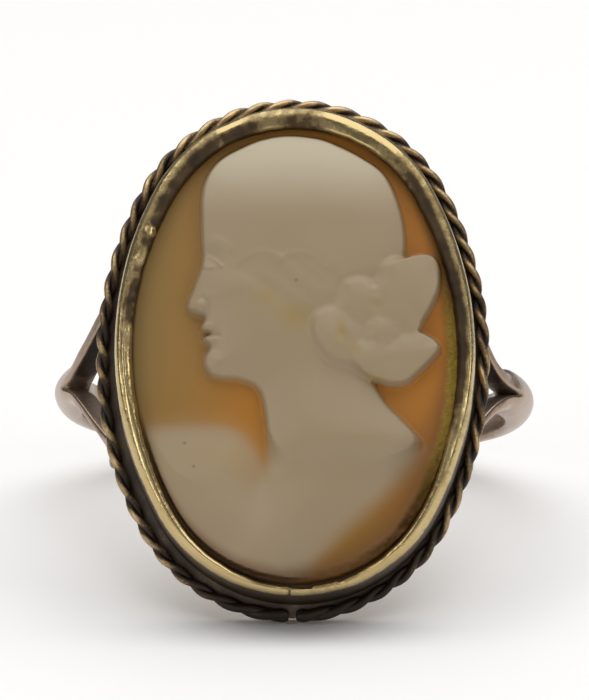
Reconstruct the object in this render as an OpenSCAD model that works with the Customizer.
// Cameo ring: a plain gold band with split shoulders, an oval head with a
// rubbed-over collet and a twisted rope border, and one carved shell cameo.
// Millimetres. The ring lies on its side on the floor z = 0: it rests on the
// lower edge of its head and on the back of its band, with the cameo to -Y.

/* [Finger size] */
// Diameter of the finger hole
finger_d = 17; // [16:0.1:18]

/* [Band] */
// Width of the band along the finger
band_w = 1.85; // [1.4:0.05:2.6]
// Thickness of the band at the crown of its D section
band_t = 1.2; // [0.9:0.05:1.6]
// How far the crown of the D section stands over its edges
band_crown = 0.5; // [0.3:0.05:0.6]

/* [Split shoulders] */
// Thickness of the shoulder arms, measured out from the finger hole
arm_t = 0.95; // [0.8:0.05:1.1]
// Half of the distance between the outer edges of the two arms at the head
arm_spread = 4.6; // [3.6:0.1:5.4]

/* [Cameo] */
// Width of the oval shell
shell_w = 13; // [12.6:0.1:13.4]
// Height of the oval shell
shell_h = 18.2; // [17.8:0.1:18.6]
// Radius of the oval's round ends
shell_end_r = 5.65; // [5.2:0.05:6]
// Thickness of the shell under its carved ground
shell_t = 1.72; // [1.4:0.02:2]
// Height of the carved relief over the ground
relief_h = 1.05; // [0.7:0.05:1.2]

/* [Head] */
// Thickness of the flat back plate
plate_t = 0.6; // [0.5:0.05:0.9]
// Thickness of the collet's wall
collet_t = 0.3; // [0.25:0.05:0.4]
// How far the collet's rubbed-over lip reaches over the shell
lip_w = 0.38; // [0.3:0.02:0.44]
// How far the collet is turned on its plate, in degrees
collet_turn = 1.2; // [0:0.1:2]
// How far the collet sits to the right of the plate's middle
collet_shift = 0.08; // [0:0.02:0.12]

/* [Rope border] */
// Diameter over the two twisted strands
rope_d = 0.52; // [0.45:0.01:0.6]
// Gap between the collet's wall and the rope
rope_gap = 0.17; // [0.15:0.01:0.25]
// Whole turns of the twist round the head
rope_turns = 25; // [18:1:30]
// Width of the open join at the bottom of the rope
rope_join = 0.3; // [0.2:0.05:0.6]

/* [Hidden] */
$fn = 96;

gold = "#b8a27c";
shell = "#c9b79c";

// Clearance between the shell and its metal
fit = 0.04;
// A small overlap that makes soldered pieces one solid
sink = 0.06;

// Band
finger_r = finger_d / 2;
band_r = finger_r + band_t;
band_edge_r = band_r - band_crown;
crown_r = (pow(band_w / 2, 2) + pow(band_crown, 2)) / (2 * band_crown);
// How far in front of the finger hole's middle the band splits, and how much
// sooner its crown starts to slope down to the arms
split_y = 2.5;
slope = 1.9;

// Levels over the middle of the finger hole, towards the face of the ring
plate_back = finger_r + 0.1;
plate_top = plate_back + plate_t;
shell_back = plate_top + fit;
ground = shell_back + shell_t;
girdle = ground - 0.4;
lip_top = ground + 0.75;

// The oval is four arcs that meet in line. Every oval of the head has the
// same four centres, so they all run parallel.
half_w = shell_w / 2;
half_h = shell_h / 2;
end_y = half_h - shell_end_r;
side_r = (half_w * half_w + end_y * end_y - shell_end_r * shell_end_r)
    / (2 * (half_w - shell_end_r));
side_x = side_r - half_w;
side_angle = atan2(end_y, side_x);

// Distances outwards from the shell's own edge
collet_out = fit + collet_t;
rope_mid = collet_out + rope_gap + rope_d / 2;
plate_out = rope_mid + 0.05;

// The tilt at which the lower back edge of the plate and the back of the band
// both touch the floor
rest_tilt = atan((half_h + plate_out - band_w / 2) / (plate_back + band_edge_r));
floor_z = -plate_back * sin(rest_tilt) + (half_h + plate_out) * cos(rest_tilt);
// How far the ring reaches to the front and back of the finger hole's middle,
// so that it can stand centred
front_reach = (ground + 0.25) * cos(rest_tilt) + (half_h + collet_out) * sin(rest_tilt);
back_reach = (band_r - crown_r) * cos(rest_tilt) + crown_r;
middle_y = (front_reach - back_reach) / 2;

// Shapes made from the oval

// A point of the oval that lies `out` outside the shell's edge, at the length
// `s` along it from the bottom, counter-clockwise: [x, y, direction outwards]
function end_len(out) = (shell_end_r + out) * (180 - 2 * side_angle) * PI / 180;
function side_len(out) = (side_r + out) * 2 * side_angle * PI / 180;
function oval_len(out) = 2 * (end_len(out) + side_len(out));
function arc_point(cx, cy, r, a) = [cx + r * cos(a), cy + r * sin(a), a];
function oval_at(out, s) =
    let (
        er = shell_end_r + out,
        sr = side_r + out,
        e = end_len(out),
        d = side_len(out),
        turn = 180 / PI
    )
    s < e / 2 ? arc_point(0, -end_y, er, -90 + s / er * turn)
    : s < e / 2 + d ? arc_point(-side_x, 0, sr, -side_angle + (s - e / 2) / sr * turn)
    : s < 1.5 * e + d ? arc_point(0, end_y, er, side_angle + (s - e / 2 - d) / er * turn)
    : s < 1.5 * e + 2 * d
        ? arc_point(side_x, 0, sr, 180 - side_angle + (s - 1.5 * e - d) / sr * turn)
    : arc_point(0, -end_y, er, 180 + side_angle + (s - 1.5 * e - 2 * d) / er * turn);

// The distance from the middle to the shell's edge in the direction a
function edge_r(a) =
    let (
        c = abs(cos(a)),
        s = abs(sin(a)),
        side = sqrt(side_r * side_r - pow(side_x * s, 2)) - side_x * c
    )
    side * s <= side_r * sin(side_angle)
        ? side
        : s * end_y + sqrt(pow(shell_end_r, 2) - pow(end_y * c, 2));

// The oval as a flat shape: a middle between two wide arcs, and two round ends
module oval(out) {
    tip_y = side_r * sin(side_angle);
    intersection() {
        translate([-side_x, 0])
            circle(side_r + out);
        translate([side_x, 0])
            circle(side_r + out);
        translate([-half_w - out, -tip_y])
            square([2 * (half_w + out), 2 * tip_y]);
    }
    for (side = [-1, 1])
        translate([0, side * end_y])
            circle(shell_end_r + out);
}

// A closed profile of [distance outwards, level] swept round the oval
module oval_sweep(profile, steps) {
    n = len(profile);
    points = [for (i = [0:steps - 1])
        for (p = profile)
            let (at = oval_at(p[0], oval_len(p[0]) * i / steps))
            [at[0], at[1], p[1]]];
    faces = [for (i = [0:steps - 1], k = [0:n - 1])
        let (
            j = (k + 1) % n,
            a = i * n,
            b = ((i + 1) % steps) * n
        )
        for (f = [[a + k, a + j, b + j], [a + k, b + j, b + k]])
            f];
    polyhedron(points, faces);
}

// Turns a shape made face up on z = 0 to the front of the ring
module on_head() {
    rotate([90, 0, 0])
        children();
}

module at_rest() {
    translate([0, middle_y, floor_z])
        rotate([-rest_tilt, 0, 0])
            children();
}

// The band: a D section round the finger, from one shoulder round the back
module band() {
    difference() {
        rotate_extrude()
            intersection() {
                translate([band_r - crown_r, 0])
                    circle(crown_r);
                translate([finger_r, -band_w / 2])
                    square([2 * band_t, band_w]);
            }
        translate([-band_r - 1, -band_r - split_y, -band_w])
            cube([2 * band_r + 2, band_r, 2 * band_w]);
        for (m = [0, 1])
            mirror([m, 0, 0])
                translate([0, 0, -band_w])
                    linear_extrude(2 * band_w)
                        crown_slope();
    }
}

// What the slope takes off the crown, seen along the finger
module crown_slope() {
    start = split_y - slope;
    foot_r = finger_r + 0.85 * arm_t;
    polygon([
        [sqrt(band_r * band_r - start * start), -start],
        [sqrt(foot_r * foot_r - split_y * split_y), -split_y - 0.1],
        [band_r + 1, -split_y - 0.1],
        [band_r + 1, -start]
    ]);
}

// The split shoulders. Looked at square on, each side is a Y that lies down.
// These are the inner and outer edge of its upper arm for a 17 mm finger hole
// and a spread of 4.6: [distance towards the plate, height].
ARM_INNER = [[-1.7, 0], [-1, 0.42], [1.2, 2.05], [3.4, 3.1], [6.2, 3.75]];
ARM_OUTER = [[6.2, 4.6], [3.4, 4], [1.4, 2.8], [-0.9, 1.4], [-2.3, 1]];
// The direction from the middle of the finger hole in which they are looked at
ARM_VIEW = 25;
// Seen along the finger, an arm's last stretch stands straight up to the back
// plate: the inner and outer foot of it, [distance from the middle, forward]
POST_FEET = [[5.3, 6], [7.35, 5.94]];
// How far that stretch leans in on its way to the plate
POST_LEAN = 0.4;
arm_scale = finger_r / 8.5;

module arm_outline() {
    wide = arm_spread / 4.6;
    upper = concat(
        [for (p = concat(ARM_INNER, ARM_OUTER)) [-p[0] * arm_scale, p[1] * wide]],
        [[band_r / 2, band_w / 2]]
    );
    lower = [for (i = [len(upper) - 1:-1:1]) [upper[i][0], -upper[i][1]]];
    polygon(concat(upper, lower));
}

// Seen along the finger: round the hole, growing from the band's edge to the
// arm's full thickness, then straight up to the back plate
module arm_side() {
    grow = (finger_r + arm_t - band_edge_r) / sin(50);
    inner_foot = POST_FEET[0] * arm_scale;
    outer_foot = POST_FEET[1] * arm_scale;
    in_plate = plate_back + plate_t / 2;
    difference() {
        union() {
            intersection() {
                translate([0, -grow])
                    circle(band_edge_r);
                translate([-band_r - 1, -band_r - 1])
                    square([2 * band_r + 2, band_r + 0.8]);
            }
            polygon([
                [inner_foot[0], -in_plate],
                [inner_foot[0], -inner_foot[1]],
                [outer_foot[0], -outer_foot[1]],
                [outer_foot[0] - POST_LEAN, -in_plate]
            ]);
        }
        circle(finger_r);
        square([2 * inner_foot[0], 2 * band_r], center = true);
    }
}

module shoulders() {
    for (m = [0, 1])
        mirror([m, 0, 0])
            intersection() {
                translate([0, 0, -half_h])
                    linear_extrude(2 * half_h)
                        arm_side();
                rotate([90, 0, 90 - ARM_VIEW])
                    translate([0, 0, finger_r / 2])
                        linear_extrude(finger_r)
                            arm_outline();
            }
}

// The flat oval plate that closes the back of the head
module back_plate() {
    translate([0, 0, plate_back])
        linear_extrude(plate_t)
            oval(plate_out);
}

// The collet: a thin wall round the shell, with its lip rubbed over the edge
module collet() {
    oval_sweep([
        [collet_out, plate_top - sink],
        [collet_out, ground + 0.25],
        [collet_out - 0.08, lip_top - 0.2],
        [fit, lip_top],
        [-lip_w * 0.6, lip_top - 0.03],
        [-lip_w, lip_top - 0.25],
        [-lip_w, ground + 0.1],
        [fit, girdle + 0.12],
        [fit, plate_top - sink]
    ], 96);
}

// The rope border: two strands twisted together, swept round the plate's rim
// from one side of the open join to the other, its ends thickened by solder
ROPE_SIDES = 10;
RINGS_PER_TURN = 12;

module rope_border() {
    length = oval_len(rope_mid) - rope_join;
    rings = rope_turns * RINGS_PER_TURN;
    level = plate_top + rope_d / 2 - sink;
    function swell(s) =
        let (d = min(s, length - s))
        d > 1.6 ? 1 : (1 + 0.25 * sin(90 * (1.6 - d) / 1.6)) * pow(min(1, d / 0.35 + 0.1), 0.5);
    points = [for (i = [0:rings])
        let (
            s = length * i / rings,
            at = oval_at(rope_mid, s + rope_join / 2),
            twist = 360 * rope_turns * i / rings
        )
        for (k = [0:ROPE_SIDES - 1])
            let (
                a = 360 * k / ROPE_SIDES,
                r = rope_d / 2 * swell(s) * (0.5 + 0.5 * pow(cos(a - twist), 2)),
                x = at[0] + r * cos(a) * cos(at[2]),
                y = at[1] + r * cos(a) * sin(at[2])
            )
            [x, y, level + r * sin(a)]];
    walls = [for (i = [0:rings - 1], k = [0:ROPE_SIDES - 1])
        let (
            n = (k + 1) % ROPE_SIDES,
            a = i * ROPE_SIDES,
            b = a + ROPE_SIDES
        )
        for (f = [[a + k, a + n, b + n], [a + k, b + n, b + k]])
            f];
    first = [for (k = [ROPE_SIDES - 1:-1:0]) k];
    last = [for (k = [0:ROPE_SIDES - 1]) rings * ROPE_SIDES + k];
    polyhedron(points, concat(walls, [first, last]));
}

module setting() {
    color(gold)
        at_rest() {
            band();
            shoulders();
            on_head() {
                back_plate();
                rotate([0, 0, collet_turn])
                    translate([collet_shift, 0, 0])
                        collet();
                rope_border();
            }
        }
}

// The carved relief: a lady's bust in profile. Its outline is a row of points
// [across, up] from the shell's middle, clockwise from the crown of the head.
HAIR_LINE = [[-0.6, 8.15], [1, 8.15], [2.5, 7.55], [3.6, 6.55], [4.2, 5.3], [4.3, 4.2],
    [3.9, 2.6], [3, 0.6], [2.7, -0.7]];
BACK_LINE = [[2.8, -1.3], [3.4, -2.1], [4.2, -2.9], [4.8, -3.6], [4.7, -4.6], [4.2, -5.6],
    [3.4, -6.7], [2.3, -7.7], [0.9, -8.3], [-0.6, -8.4]];
CHEST_LINE = [[-2, -8.1], [-3.3, -7.3], [-4.4, -6.1], [-5.2, -4.7], [-5.45, -3.6],
    [-5.1, -2.85], [-3.5, -2.75], [-2, -2.85], [-1.3, -3.3]];
NECK_LINE = [[-1.05, -2.7], [-1.1, -1.9], [-1.4, -1.3], [-2.1, -1.05]];
// An ideal face in the classical canon: brow, nose and chin a third apart
FACE_LINE = [[-2.9, -1], [-3.3, -0.75], [-3.4, -0.35], [-3.2, 0.05], [-3.45, 0.35],
    [-3.3, 0.6], [-3.55, 0.85], [-3.4, 1.3], [-4, 1.6], [-4, 1.85], [-3.55, 2.9],
    [-3.25, 3.5], [-3.4, 4], [-3.45, 4.8], [-3.35, 5.7], [-2.95, 6.8], [-2, 7.65]];
BUST_LINE = concat(HAIR_LINE, BACK_LINE, CHEST_LINE, NECK_LINE, FACE_LINE);

// Rounded masses on the bust: [across, up, half width, half height, turn, height]
MASSES = [
    [0.6, 4.5, 3.8, 3.7, 0, 0.95],
    [-1.2, 1.7, 2.3, 2.7, 10, 0.9],
    [1, -5.2, 3.4, 3.2, -30, 0.85],
    [-3.2, -4.8, 2.1, 2, 0, 0.75]
];
// The petals and hearts of the two flowers at the nape, in the same columns
PETALS = [
    [4.3, 2.5, 1.3, 1.35, 0, 0.95],
    [2.7, 2.85, 1.1, 1, 0, 0.95],
    [4.35, 0.55, 1.2, 1.05, 0, 0.9],
    [4.4, -0.35, 1.3, 0.9, -25, 0.85],
    [3.2, -0.4, 1.1, 0.9, 0, 0.9],
    [3.25, 1.9, 0.75, 0.75, 0, 1.05],
    [1.75, 0.6, 1.15, 1.25, 0, 0.95],
    [1.8, 0.6, 0.5, 0.5, 0, 1.1]
];

// How far the point p lies from the line between a and b
function to_edge(p, a, b) =
    let (
        along = b - a,
        t = max(0, min(1, (p - a) * along / (along * along)))
    )
    norm(p - a - t * along);
function crossed(p, a, b) =
    (a[1] > p[1]) != (b[1] > p[1])
    && p[0] < (b[0] - a[0]) * (p[1] - a[1]) / (b[1] - a[1]) + a[0];
// How far p lies inside the line, or below 0 outside it
function depth_inside(p, line) =
    let (
        n = len(line),
        hits = [for (i = [0:n - 1]) if (crossed(p, line[i], line[(i + 1) % n])) 1],
        d = min([for (i = [0:n - 1]) to_edge(p, line[i], line[(i + 1) % n])])
    )
    len(hits) % 2 == 0 ? -d : d;
// A soft rise from 0 just outside an edge to 1 at the depth w
function rise(d, w) = let (t = max(0, min(1, (d + 0.14) / (w + 0.14)))) t * t * (3 - 2 * t);
function mass(p, m) =
    let (
        d = p - [m[0], m[1]],
        x = (d[0] * cos(m[4]) + d[1] * sin(m[4])) / m[2],
        y = (d[1] * cos(m[4]) - d[0] * sin(m[4])) / m[3],
        q = 1 - x * x - y * y
    )
    q <= 0 ? 0 : m[5] * min(1, 1.25 * sqrt(q));
// The relief is crisp round the head and sinks softly away below the shoulder
function relief(p) =
    let (
        d = depth_inside(p, BUST_LINE),
        soft = 0.4 + 0.45 * max(0, -2.8 - p[1]),
        body = rise(d, soft) * max([0.72, for (m = MASSES) mass(p, m)])
    )
    relief_h * max([body, for (m = PETALS) mass(p, m)]);

SPOKES = 112;
SHELL_RINGS = 31;
// Where the bevel under the collet's lip starts, as a share of the way out
BEVEL = 0.935;

module cameo_shell() {
    function top(share, p) =
        share > BEVEL
            ? ground - (ground - girdle) * (share - BEVEL) / (1 - BEVEL)
            : ground + 0.12 * (1 - pow(share / BEVEL, 2))
                + relief(p) * min(1, (BEVEL - share) / 0.03);
    function spoke_point(share, a) =
        let (p = share * edge_r(a) * [cos(a), sin(a)])
        [p[0], p[1], top(share, p)];
    shares = [for (i = [1:SHELL_RINGS]) i < SHELL_RINGS ? BEVEL * i / (SHELL_RINGS - 1) : 1];
    rings = [for (share = shares, k = [0:SPOKES - 1]) spoke_point(share, 360 * k / SPOKES)];
    base = [for (k = [0:SPOKES - 1])
        let (a = 360 * k / SPOKES)
        concat(edge_r(a) * [cos(a), sin(a)], shell_back)];
    middle = len(rings) + SPOKES;
    fan = [for (k = [0:SPOKES - 1]) [middle, (k + 1) % SPOKES, k]];
    walls = [for (i = [0:SHELL_RINGS - 1], k = [0:SPOKES - 1])
        let (
            n = (k + 1) % SPOKES,
            a = i * SPOKES,
            b = a + SPOKES
        )
        for (f = [[a + k, a + n, b + n], [a + k, b + n, b + k]])
            f];
    back = [for (k = [0:SPOKES - 1]) SHELL_RINGS * SPOKES + k];
    polyhedron(concat(rings, base, [spoke_point(0, 0)]), concat(fan, walls, [back]));
}

module cameo() {
    color(shell)
        at_rest()
            on_head()
                rotate([0, 0, collet_turn])
                    translate([collet_shift, 0, 0])
                        cameo_shell();
}

setting();
cameo();
